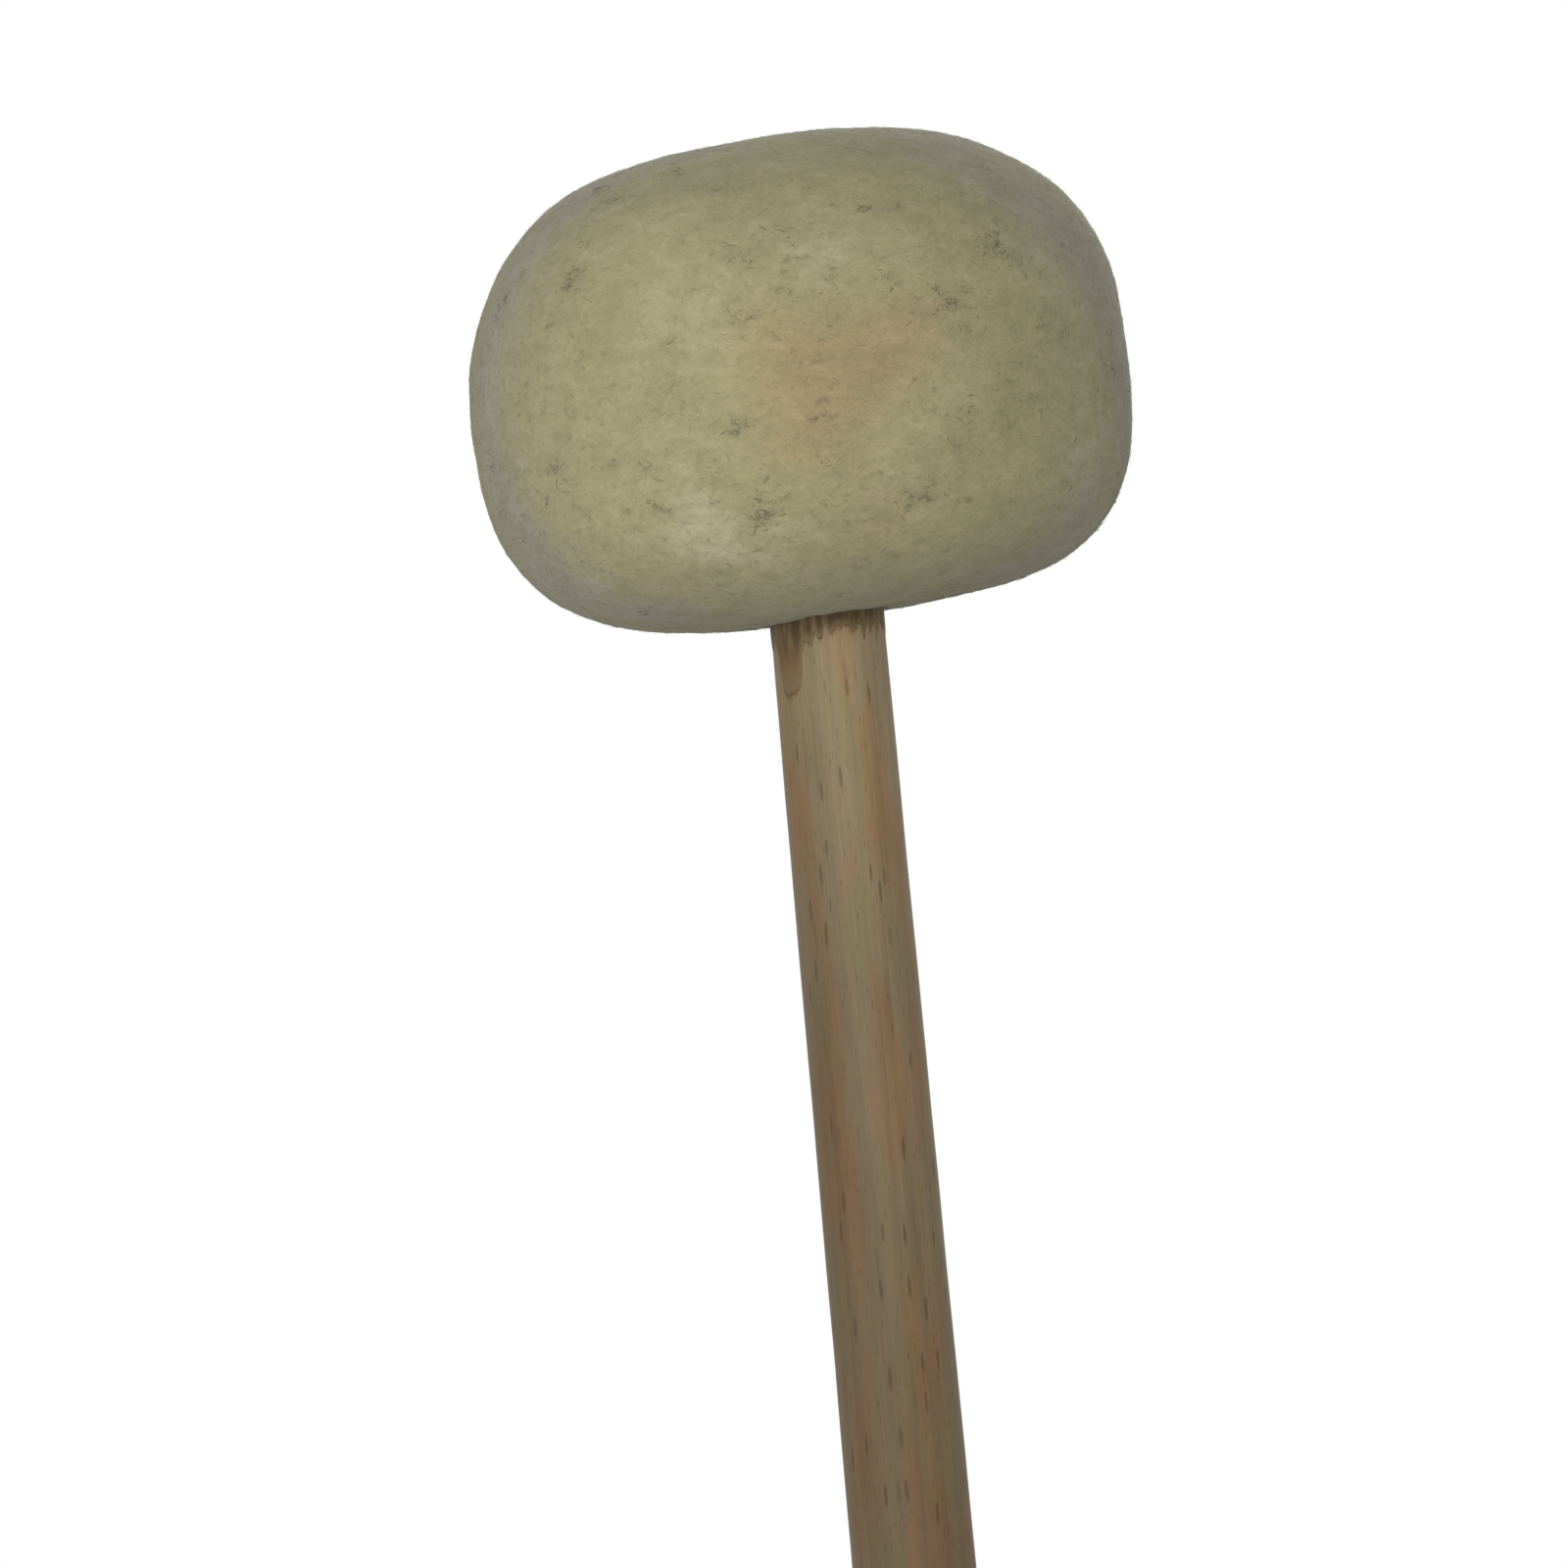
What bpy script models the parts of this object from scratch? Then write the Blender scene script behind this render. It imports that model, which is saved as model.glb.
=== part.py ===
"""Felt-headed mallet for a singing bowl, on a turned beech handle.

The mallet stands on its butt. The origin is the centre of the small flat on
the butt, +Z runs up the handle to the head, and -Y is the front. The head is
built from the inside out: a wooden core is screwed down on the handle's
spigot, felt pads and a felt wrap close round it, and one thick shell of
moulded wool felt covers them all. Lengths are in metres.
"""

import math

import bmesh
import bpy
from mathutils import Matrix

MM = 0.001

# Clearance between neighbouring pieces
CLEARANCE = 0.3 * MM

# Handle
HANDLE_REACH = 235.0 * MM  # butt to the underside of the head, on the axis
NECK_DIAMETER = 13.9 * MM  # where the handle enters the felt
BUTT_DIAMETER = 16.5 * MM
BUTT_ROUNDING = 4.5 * MM
SPIGOT_DIAMETER = 9.5 * MM
SPIGOT_CHAMFER = 0.6 * MM
SPIGOT_SHORTFALL = 1.0 * MM  # the washer then clamps the core, not the spigot

# Outer shape of the head
HEAD_DIAMETER = 80.5 * MM
HEAD_RISE = 31.7 * MM  # from the widest line up to the crown
HEAD_DROP = 27.8 * MM  # from the widest line down to the underside
CROWN_POWER = 2.6  # 2 is an ellipse, and more is squarer
BASE_POWER = 3.1
HEAD_LEAN = math.radians(2.6)  # the felt sits askew on the handle, right side up
HEAD_SHIFT = -0.6 * MM  # of the felt's middle along X

# Layers of the head
COVER_WALL = 9.0 * MM
COVER_CROWN = 9.0 * MM
COVER_BASE = 8.0 * MM
WRAP_WALL = 9.0 * MM
UPPER_PAD = 9.0 * MM
LOWER_PAD = 8.0 * MM
CORE_EDGE = 1.5 * MM

# Screw and washer that hold the core on the spigot
SCREW_DIAMETER = 4.0 * MM
SCREW_LENGTH = 24.0 * MM  # under the head
SCREW_POINT = 4.0 * MM
SCREW_HEAD_DIAMETER = 8.0 * MM
SCREW_HEAD_HEIGHT = 2.4 * MM
SLOT_WIDTH = 1.2 * MM
SLOT_DEPTH = 1.2 * MM
PILOT_SPARE = 2.0 * MM  # depth of the pilot hole past the screw's point
WASHER_DIAMETER = 17.0 * MM
WASHER_THICKNESS = 1.5 * MM
WASHER_EDGE = 0.25 * MM
RECESS_SPARE = 0.5 * MM  # round the washer, and over the screw's head

# Glue squeezed out under the head, with one run down the handle
GLUE_DEPTH = 2.6 * MM
GLUE_RIPPLE = 0.5 * MM
GLUE_RIPPLES = 7
GLUE_FILLET = 0.6 * MM  # thickness against the felt
GLUE_FILM = 0.3 * MM  # thickness lower down
GLUE_KNEE = 1.2 * MM  # height of the fillet
GLUE_RUN = 6.2 * MM
GLUE_RUN_SIDE = math.radians(-132.0)  # at the front, to the left
GLUE_RUN_SPREAD = math.radians(17.0)

# Facets
ROUND_STEPS = 32
COVER_STEPS = 40
COVER_RINGS = 20
PADDING_RINGS = 14
ARC_STEPS = 6
GLUE_STEPS = 48

# Radii that several pieces share
NECK_RADIUS = NECK_DIAMETER / 2
BUTT_RADIUS = BUTT_DIAMETER / 2
SPIGOT_RADIUS = SPIGOT_DIAMETER / 2
SCREW_RADIUS = SCREW_DIAMETER / 2
PILOT_RADIUS = SCREW_RADIUS + CLEARANCE
BORE_RADIUS = NECK_RADIUS + CLEARANCE
PADDING_RADIUS = HEAD_DIAMETER / 2 - COVER_WALL
PADDING_RISE = HEAD_RISE - COVER_CROWN
PADDING_DROP = HEAD_DROP - COVER_BASE
CORE_RADIUS = PADDING_RADIUS - WRAP_WALL
RECESS_RADIUS = WASHER_DIAMETER / 2 + RECESS_SPARE

# Heights that several pieces share, from the butt
HEAD_MIDDLE = HANDLE_REACH + HEAD_DROP / math.cos(HEAD_LEAN) + HEAD_SHIFT * math.tan(HEAD_LEAN)
SHOULDER = HEAD_MIDDLE - PADDING_DROP + LOWER_PAD
CORE_BASE = SHOULDER + CLEARANCE
CORE_TOP = HEAD_MIDDLE + PADDING_RISE - UPPER_PAD - CLEARANCE
RECESS_DEPTH = CLEARANCE + WASHER_THICKNESS + CLEARANCE + SCREW_HEAD_HEIGHT + RECESS_SPARE
RECESS_FLOOR = CORE_TOP - RECESS_DEPTH
WASHER_BASE = RECESS_FLOOR + CLEARANCE
SCREW_SEAT = WASHER_BASE + WASHER_THICKNESS + CLEARANCE
SPIGOT_TOP = RECESS_FLOOR - SPIGOT_SHORTFALL
SCREW_TIP = SCREW_SEAT - SCREW_LENGTH
PILOT_FLOOR = SCREW_TIP - PILOT_SPARE


def clear_scene():
    for item in list(bpy.data.objects):
        bpy.data.objects.remove(item, do_unlink=True)


def material(name, colour, roughness, metallic=0.0):
    """One plain finish, with its colour in linear values."""
    finish = bpy.data.materials.new(name)
    finish.use_nodes = True
    shader = finish.node_tree.nodes["Principled BSDF"]
    shader.inputs["Base Color"].default_value = (*colour, 1.0)
    shader.inputs["Roughness"].default_value = roughness
    shader.inputs["Metallic"].default_value = metallic
    finish.diffuse_color = (*colour, 1.0)
    return finish


def piece(name, shape, finish, sharp_from=35.0):
    """Puts a finished bmesh into the scene as one named object."""
    bmesh.ops.recalc_face_normals(shape, faces=shape.faces)
    mesh = bpy.data.meshes.new(name)
    shape.to_mesh(mesh)
    shape.free()
    mesh.shade_smooth()
    mesh.set_sharp_from_angle(angle=math.radians(sharp_from))
    mesh.materials.append(finish)
    made = bpy.data.objects.new(name, mesh)
    bpy.context.scene.collection.objects.link(made)
    return made


def turned(outline, steps, closed=False):
    """Turns an outline of (radius, height) points about the handle's axis.

    An open outline starts and ends on the axis. A closed one makes a ring.
    """
    shape = bmesh.new()
    corners = [shape.verts.new((radius, 0.0, height)) for radius, height in outline]
    followers = corners[1:] + corners[:1] if closed else corners[1:]
    for corner, follower in zip(corners, followers):
        shape.edges.new((corner, follower))
    bmesh.ops.spin(
        shape,
        geom=shape.verts[:] + shape.edges[:],
        cent=(0.0, 0.0, 0.0),
        axis=(0.0, 0.0, 1.0),
        angle=math.tau,
        steps=steps,
        use_merge=True,
    )
    bmesh.ops.remove_doubles(shape, verts=shape.verts[:], dist=0.001 * MM)
    return shape


def arc(radius, height, rounding, start, end):
    """Points of a rounded corner, with angles in degrees from the outward side."""
    points = []
    for step in range(ARC_STEPS + 1):
        angle = math.radians(start + (end - start) * step / ARC_STEPS)
        points.append((radius + rounding * math.cos(angle), height + rounding * math.sin(angle)))
    return points


def swell_point(radius, rise, drop, angle):
    """A point on the head's rounded-square outline, from -90 degrees below to 90 above."""
    half = rise if angle >= 0 else -drop
    power = CROWN_POWER if angle >= 0 else BASE_POWER
    out = radius * max(math.cos(angle), 0.0) ** (2 / power)
    return out, HEAD_MIDDLE + half * abs(math.sin(angle)) ** (2 / power)


def swell_outline(radius, rise, drop, start, end, rings):
    """The head's outline between two angles, at even steps."""
    return [swell_point(radius, rise, drop, start + (end - start) * step / rings) for step in range(rings + 1)]


def angle_at_height(rise, drop, height):
    """Where the outline crosses a height."""
    above = height - HEAD_MIDDLE
    if above >= 0:
        return math.asin(min(above / rise, 1.0) ** (CROWN_POWER / 2))
    return -math.asin(min(-above / drop, 1.0) ** (BASE_POWER / 2))


def angle_at_bore(radius, bore):
    """Where the outline's underside crosses the bore."""
    return -math.acos((bore / radius) ** (BASE_POWER / 2))


def handle_radius(height):
    """The handle tapers from its butt to the neck, and runs straight inside the head."""
    share = min(height / HANDLE_REACH, 1.0)
    return BUTT_RADIUS + (NECK_RADIUS - BUTT_RADIUS) * share


def underside(x):
    """Height of the felt's underside near the handle, which follows the head's lean."""
    return HANDLE_REACH + x * math.tan(HEAD_LEAN)


def make_handle(finish):
    """Turned handle with a rounded butt, a shouldered spigot and a pilot hole for the screw."""
    corner = handle_radius(BUTT_ROUNDING) - BUTT_ROUNDING
    outline = [(0.0, 0.0)]
    outline += arc(corner, BUTT_ROUNDING, BUTT_ROUNDING, -90.0, 0.0)
    outline += [
        (NECK_RADIUS, HANDLE_REACH),
        (NECK_RADIUS, SHOULDER),
        (SPIGOT_RADIUS, SHOULDER),
        (SPIGOT_RADIUS, SPIGOT_TOP - SPIGOT_CHAMFER),
        (SPIGOT_RADIUS - SPIGOT_CHAMFER, SPIGOT_TOP),
        (PILOT_RADIUS, SPIGOT_TOP),
        (PILOT_RADIUS, PILOT_FLOOR + PILOT_RADIUS),
        (0.0, PILOT_FLOOR),
    ]
    return piece("handle", turned(outline, ROUND_STEPS), finish)


def make_core(finish):
    """Turned core with a bore for the spigot and a recess for the washer."""
    bore = SPIGOT_RADIUS + CLEARANCE
    edge = CORE_RADIUS - CORE_EDGE
    outline = [(bore, RECESS_FLOOR), (bore, CORE_BASE)]
    outline += arc(edge, CORE_BASE + CORE_EDGE, CORE_EDGE, -90.0, 0.0)
    outline += arc(edge, CORE_TOP - CORE_EDGE, CORE_EDGE, 0.0, 90.0)
    outline += [(RECESS_RADIUS, CORE_TOP), (RECESS_RADIUS, RECESS_FLOOR)]
    return piece("head_core", turned(outline, ROUND_STEPS, closed=True), finish)


def make_washer(finish):
    """Steel washer on the floor of the core's recess."""
    rim = WASHER_DIAMETER / 2
    top = WASHER_BASE + WASHER_THICKNESS
    outline = [
        (PILOT_RADIUS, top),
        (PILOT_RADIUS, WASHER_BASE),
        (rim - WASHER_EDGE, WASHER_BASE),
        (rim, WASHER_BASE + WASHER_EDGE),
        (rim, top - WASHER_EDGE),
        (rim - WASHER_EDGE, top),
    ]
    return piece("core_washer", turned(outline, ROUND_STEPS, closed=True), finish, 20.0)


def make_screw(finish):
    """Slotted round-head screw through the washer into the spigot."""
    rim = SCREW_HEAD_DIAMETER / 2
    crown = SCREW_SEAT + SCREW_HEAD_HEIGHT
    edge = SCREW_HEAD_HEIGHT / 2
    outline = [
        (0.0, SCREW_TIP),
        (SCREW_RADIUS, SCREW_TIP + SCREW_POINT),
        (SCREW_RADIUS, SCREW_SEAT),
        (rim, SCREW_SEAT),
    ]
    outline += arc(rim - edge, crown - edge, edge, 0.0, 90.0)
    outline += [(0.0, crown)]
    screw = piece("core_screw", turned(outline, ROUND_STEPS), finish)
    slot = bmesh.new()
    bmesh.ops.create_cube(slot, size=1.0)
    bmesh.ops.scale(slot, vec=(3 * rim, SLOT_WIDTH, 2 * SLOT_DEPTH), verts=slot.verts[:])
    bmesh.ops.translate(slot, vec=(0.0, 0.0, crown), verts=slot.verts[:])
    cut_away(screw, piece("screw_slot_cutter", slot, finish))
    return screw


def cut_away(body, cutter):
    """Cuts one shape out of another, and keeps the cutter as a wire guide."""
    cutter.hide_render = True
    cutter.display_type = "WIRE"
    cut = body.modifiers.new("cut", "BOOLEAN")
    cut.operation = "DIFFERENCE"
    cut.solver = "EXACT"
    cut.object = cutter


def make_lower_pad(finish):
    """Felt pad under the core, which the handle passes through."""
    size = (PADDING_RADIUS, PADDING_RISE, PADDING_DROP)
    start = angle_at_bore(PADDING_RADIUS, BORE_RADIUS)
    end = angle_at_height(PADDING_RISE, PADDING_DROP, SHOULDER)
    outline = swell_outline(*size, start, end, PADDING_RINGS // 2)
    outline += [(BORE_RADIUS, SHOULDER)]
    return piece("lower_pad", turned(outline, ROUND_STEPS, closed=True), finish)


def make_side_wrap(finish):
    """Felt strip wrapped round the core's side."""
    size = (PADDING_RADIUS, PADDING_RISE, PADDING_DROP)
    start = angle_at_height(PADDING_RISE, PADDING_DROP, CORE_BASE)
    end = angle_at_height(PADDING_RISE, PADDING_DROP, CORE_TOP)
    inner = CORE_RADIUS + CLEARANCE
    outline = swell_outline(*size, start, end, PADDING_RINGS)
    outline += [(inner, CORE_TOP), (inner, CORE_BASE)]
    return piece("side_wrap", turned(outline, ROUND_STEPS, closed=True), finish)


def make_upper_pad(finish):
    """Felt pad over the core and its screw."""
    size = (PADDING_RADIUS, PADDING_RISE, PADDING_DROP)
    base = CORE_TOP + CLEARANCE
    start = angle_at_height(PADDING_RISE, PADDING_DROP, base)
    outline = [(0.0, base)]
    outline += swell_outline(*size, start, math.radians(90.0), PADDING_RINGS // 2)
    return piece("upper_pad", turned(outline, ROUND_STEPS), finish)


def make_cover(finish):
    """Moulded felt shell, closed but for the bore where the handle enters."""
    outer = turned(
        swell_outline(
            HEAD_DIAMETER / 2, HEAD_RISE, HEAD_DROP, math.radians(-90.0), math.radians(90.0), COVER_RINGS
        ),
        COVER_STEPS,
    )
    middle = Matrix.Translation((0.0, 0.0, HEAD_MIDDLE))
    askew = Matrix.Translation((HEAD_SHIFT, 0.0, 0.0)) @ Matrix.Rotation(-HEAD_LEAN, 4, "Y")
    bmesh.ops.transform(outer, matrix=middle @ askew @ middle.inverted(), verts=outer.verts[:])
    cover = piece("felt_cover", outer, finish)
    hollow = (PADDING_RADIUS + CLEARANCE, PADDING_RISE + CLEARANCE, PADDING_DROP + CLEARANCE)
    below = HANDLE_REACH - COVER_BASE
    inside = [(0.0, below), (BORE_RADIUS, below)]
    start = angle_at_bore(hollow[0], BORE_RADIUS)
    inside += swell_outline(*hollow, start, math.radians(90.0), PADDING_RINGS)
    cut_away(cover, piece("hollow_cutter", turned(inside, ROUND_STEPS), finish))
    return cover


def glue_reach(side):
    """How far the glue comes down the handle on one side, with its ripples and its run."""
    ripple = GLUE_RIPPLE * math.sin(GLUE_RIPPLES * side)
    off_run = math.remainder(side - GLUE_RUN_SIDE, math.tau) / GLUE_RUN_SPREAD
    return GLUE_DEPTH + ripple + GLUE_RUN * math.exp(-off_run * off_run)


def make_glue(finish):
    """Ring of hardened glue in the corner between the felt and the handle."""
    shape = bmesh.new()
    sections = []
    for step in range(GLUE_STEPS):
        side = math.tau * step / GLUE_STEPS
        top = underside(NECK_RADIUS * math.cos(side)) - CLEARANCE
        knee = top - GLUE_KNEE
        low = top - glue_reach(side)
        section = []
        for height, out in ((top, 0.0), (top, GLUE_FILLET), (knee, GLUE_FILM), (low, GLUE_FILM), (low, 0.0)):
            radius = handle_radius(height) + CLEARANCE + out
            section.append(shape.verts.new((radius * math.cos(side), radius * math.sin(side), height)))
        sections.append(section)
    for section, following in zip(sections, sections[1:] + sections[:1]):
        for near, far in zip(range(len(section)), [*range(1, len(section)), 0]):
            shape.faces.new((section[near], section[far], following[far], following[near]))
    bmesh.ops.triangulate(shape, faces=shape.faces[:])
    return piece("glue_collar", shape, finish)


clear_scene()
BEECH = material("beech", (0.42, 0.29, 0.16), 0.55)
CORE_WOOD = material("core_wood", (0.55, 0.40, 0.23), 0.7)
OUTER_FELT = material("outer_felt", (0.36, 0.31, 0.18), 0.97)
INNER_FELT = material("inner_felt", (0.52, 0.49, 0.40), 0.97)
STEEL = material("zinc_steel", (0.62, 0.62, 0.60), 0.35, metallic=1.0)
GLUE = material("dried_glue", (0.16, 0.09, 0.035), 0.4)

make_handle(BEECH)
make_core(CORE_WOOD)
make_washer(STEEL)
make_screw(STEEL)
make_lower_pad(INNER_FELT)
make_side_wrap(INNER_FELT)
make_upper_pad(INNER_FELT)
make_cover(OUTER_FELT)
make_glue(GLUE)
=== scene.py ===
"""A felt-headed mallet for singing bowls: moulded wool felt on a hand-worn beech handle.

The felt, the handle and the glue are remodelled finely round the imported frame,
loose wool is laid over the felt, and the hidden core, pads, washer and screw
keep their own shapes with a finish of their own. Lengths are in metres.
"""

import math
import random

import bmesh
import bpy
import numpy as np
from mathutils import Matrix, Vector, noise


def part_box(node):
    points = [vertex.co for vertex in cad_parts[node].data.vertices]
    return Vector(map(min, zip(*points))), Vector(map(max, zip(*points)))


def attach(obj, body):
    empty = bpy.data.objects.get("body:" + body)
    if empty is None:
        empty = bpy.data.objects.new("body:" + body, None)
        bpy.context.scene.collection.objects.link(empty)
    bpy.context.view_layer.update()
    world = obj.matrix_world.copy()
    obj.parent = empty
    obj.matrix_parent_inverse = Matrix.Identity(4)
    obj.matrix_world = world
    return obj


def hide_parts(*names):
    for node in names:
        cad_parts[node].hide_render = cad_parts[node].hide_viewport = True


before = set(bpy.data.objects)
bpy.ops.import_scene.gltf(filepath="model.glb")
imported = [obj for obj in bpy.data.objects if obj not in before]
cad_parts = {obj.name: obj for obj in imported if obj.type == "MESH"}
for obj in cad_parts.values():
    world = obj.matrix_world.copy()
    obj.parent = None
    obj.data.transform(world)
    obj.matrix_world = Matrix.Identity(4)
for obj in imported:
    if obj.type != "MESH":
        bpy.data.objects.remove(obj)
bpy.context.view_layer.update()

MM = 0.001

# The photograph: its size in pixels, what one pixel measures, and how the handle leans in it
PHOTO_PIXELS = 1600
PIXEL = 0.12 * MM
HANDLE_LEAN = math.radians(5.263)
AXIS_PIXEL = (846.5, 660.0)
AXIS_PIXEL_DROP = 3.44 * MM  # that point on the handle's axis lies this far below the felt
CAMERA_DISTANCE = 1400 * MM
SENSOR_WIDTH = 36.0

# Felt head
HEAD_LEAN = math.radians(2.6)
HEAD_RISE = 31.7 * MM
HEAD_DROP = 27.8 * MM
CROWN_POWER = 2.6
BASE_POWER = 3.1
FELT_ROWS = 168
FELT_COLUMNS = 384
HOLLOW_ROWS = 12
BORE_ROWS = 4
SIGHT_STEP = 0.25 * MM

# Handle
HANDLE_REACH = 235 * MM  # from the butt up to the felt
NECK_RADIUS = 6.95 * MM
BUTT_ROUNDING = 4.5 * MM
BUTT_STEPS = 10
SPIGOT_RADIUS = 4.75 * MM
SPIGOT_CHAMFER = 0.6 * MM
PILOT_RADIUS = 2.3 * MM
PILOT_DEPTH = 18 * MM  # of the hole's straight part, and then its point
PILOT_POINT = 1.5 * MM
TURNER_WAVE = 0.07 * MM  # slow unevenness of the turning, and the short one
TURNER_DENT = 0.035 * MM
DARKEST_FROM = 118 * MM  # the wood is darkened fully from here down
HANDLE_COLUMNS = 112
HANDLE_ROW = 1.6 * MM
STAIN_REACH = 13 * MM  # the glue and its stain end above this, measured down from the felt
STAIN_ROW = 0.4 * MM
STAIN_FADE = 1.1 * MM

# Seeds
FUZZ_SEED = 11
WOOL_SEED = 5

GAP = 0.3 * MM  # clearance that the frame keeps between neighbours

handle_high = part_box("handle")[1]
cover_low, cover_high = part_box("felt_cover")
wrap_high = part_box("side_wrap")[1]
lower_low, lower_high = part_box("lower_pad")
upper_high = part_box("upper_pad")[1]

HEAD_RADIUS = (cover_high.y - cover_low.y) / 2
HEAD_SIDE = (cover_high.x + cover_low.x) / 2
HEAD_MIDDLE = Vector((
    HEAD_SIDE,
    0.0,
    HANDLE_REACH + HEAD_DROP / math.cos(HEAD_LEAN) + HEAD_SIDE * math.tan(HEAD_LEAN),
))
BUTT_RADIUS = handle_high.x


# Camera

def image_axes():
    """The picture's right and up directions. The handle leans in the picture, top to the left."""
    right = Vector((math.cos(HANDLE_LEAN), 0.0, -math.sin(HANDLE_LEAN)))
    up = Vector((math.sin(HANDLE_LEAN), 0.0, math.cos(HANDLE_LEAN)))
    return right, up


def picture_point(column, row):
    """The point in the handle's plane that a pixel of the photograph shows."""
    right, up = image_axes()
    start = Vector((0.0, 0.0, HANDLE_REACH - AXIS_PIXEL_DROP))
    return start + PIXEL * ((column - AXIS_PIXEL[0]) * right + (AXIS_PIXEL[1] - row) * up)


def camera_place():
    return picture_point(PHOTO_PIXELS / 2, PHOTO_PIXELS / 2) + Vector((0.0, -CAMERA_DISTANCE, 0.0))


def make_camera():
    data = bpy.data.cameras.new("camera")
    data.sensor_width = SENSOR_WIDTH
    data.lens = SENSOR_WIDTH * CAMERA_DISTANCE / (PHOTO_PIXELS * PIXEL)
    camera = bpy.data.objects.new("camera", data)
    right, up = image_axes()
    back = right.cross(up)
    turn = Matrix((right, up, back)).transposed().to_4x4()
    camera.matrix_world = Matrix.Translation(camera_place()) @ turn
    bpy.context.scene.collection.objects.link(camera)
    bpy.context.scene.camera = camera


# Light and surroundings

# Each lamp's place from the head's middle and its size, in metres, and its power in watts
LAMPS = (
    ("front_lamp", (0.0, -0.95, 0.0), 0.55, 5.0),
    ("left_lamp", (-0.75, -0.6, 0.05), 0.55, 2.4),
    ("back_lamp", (0.25, 0.9, 0.4), 0.5, 4.5),
)
WORLD_LIGHT = 0.27


def aim(lamp, target):
    lamp.rotation_mode = "QUATERNION"
    lamp.rotation_quaternion = (target - lamp.location).to_track_quat("-Z", "Y")


def area_lamp(name, place, target, size, power):
    data = bpy.data.lights.new(name, "AREA")
    data.shape = "DISK"
    data.size = size
    data.energy = power
    lamp = bpy.data.objects.new(name, data)
    lamp.location = place
    bpy.context.scene.collection.objects.link(lamp)
    aim(lamp, target)


def make_lamps():
    head = Vector((0.0, 0.0, HEAD_MIDDLE.z))
    for name, place, size, power in LAMPS:
        area_lamp(name, head + Vector(place), head, size, power)


def seen_directly(tree):
    """1 for rays that show the background: straight, mirrored or through glass. 0 for those that light."""
    path = add(tree, "ShaderNodeLightPath")
    straight_or_mirrored = math_node(
        tree, "MAXIMUM", path.outputs["Is Camera Ray"], path.outputs["Is Glossy Ray"]
    )
    return math_node(tree, "MAXIMUM", straight_or_mirrored, path.outputs["Is Transmission Ray"])


def make_world():
    world = bpy.data.worlds.new("studio")
    world.use_nodes = True
    tree = world.node_tree
    tree.nodes.clear()
    lit = add(tree, "ShaderNodeBackground", {"Color": (1.0, 1.0, 1.0, 1.0), "Strength": WORLD_LIGHT})
    white = add(tree, "ShaderNodeBackground", {"Color": (1.0, 1.0, 1.0, 1.0), "Strength": 1.0})
    mix = add(tree, "ShaderNodeMixShader")
    out = add(tree, "ShaderNodeOutputWorld")
    tree.links.new(seen_directly(tree), mix.inputs["Fac"])
    tree.links.new(lit.outputs[0], mix.inputs[1])
    tree.links.new(white.outputs[0], mix.inputs[2])
    tree.links.new(mix.outputs[0], out.inputs["Surface"])
    bpy.context.scene.world = world
    bpy.context.scene.view_settings.view_transform = "Standard"


FLOOR_RADIUS = 0.42
FLOOR_CLEAR = 0.10  # the floor is plain this far out, and fades into the white beyond
FLOOR_FADED = 0.96 * FLOOR_RADIUS
FLOOR_GREY = (0.40, 0.40, 0.40, 1.0)
FLOOR_LIFT = 0.7  # how much paler the floor is to the camera than the light makes it


def make_floor():
    shape = bmesh.new()
    bmesh.ops.create_circle(shape, cap_ends=True, segments=96, radius=FLOOR_RADIUS)
    bmesh.ops.recalc_face_normals(shape, faces=shape.faces[:])
    mesh = bpy.data.meshes.new("floor")
    shape.to_mesh(mesh)
    shape.free()
    floor = bpy.data.objects.new("floor", mesh)
    bpy.context.scene.collection.objects.link(floor)
    finish = bpy.data.materials.new("pale_floor")
    finish.use_nodes = True
    tree = finish.node_tree
    tree.nodes.clear()
    place = add(tree, "ShaderNodeTexCoord")
    length = add(tree, "ShaderNodeVectorMath", operation="LENGTH")
    fade = add(tree, "ShaderNodeMapRange", {"From Min": FLOOR_CLEAR, "From Max": FLOOR_FADED})
    pale = add(tree, "ShaderNodeBsdfDiffuse", {"Color": FLOOR_GREY})
    clear = add(tree, "ShaderNodeBsdfTransparent")
    mix = add(tree, "ShaderNodeMixShader")
    out = add(tree, "ShaderNodeOutputMaterial")
    path = add(tree, "ShaderNodeLightPath")
    glow = add(tree, "ShaderNodeEmission", {"Color": (1.0, 1.0, 1.0, 1.0)})
    lit = add(tree, "ShaderNodeAddShader")
    lift = times(tree, path.outputs["Is Camera Ray"], FLOOR_LIFT)
    tree.links.new(lift, glow.inputs["Strength"])
    tree.links.new(pale.outputs[0], lit.inputs[0])
    tree.links.new(glow.outputs[0], lit.inputs[1])
    tree.links.new(place.outputs["Object"], length.inputs[0])
    tree.links.new(length.outputs["Value"], fade.inputs["Value"])
    under = add(tree, "ShaderNodeNewGeometry").outputs["Backfacing"]
    tree.links.new(math_node(tree, "MAXIMUM", fade.outputs[0], under), mix.inputs["Fac"])
    tree.links.new(lit.outputs[0], mix.inputs[1])
    tree.links.new(clear.outputs[0], mix.inputs[2])
    tree.links.new(mix.outputs[0], out.inputs["Surface"])
    mesh.materials.append(finish)


# Node building

def add(tree, kind, values=None, **settings):
    """Adds a node, and sets its settings and the plain values of its inputs."""
    made = tree.nodes.new(kind)
    for name, value in settings.items():
        setattr(made, name, value)
    for name, value in (values or {}).items():
        made.inputs[name].default_value = value
    return made


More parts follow.
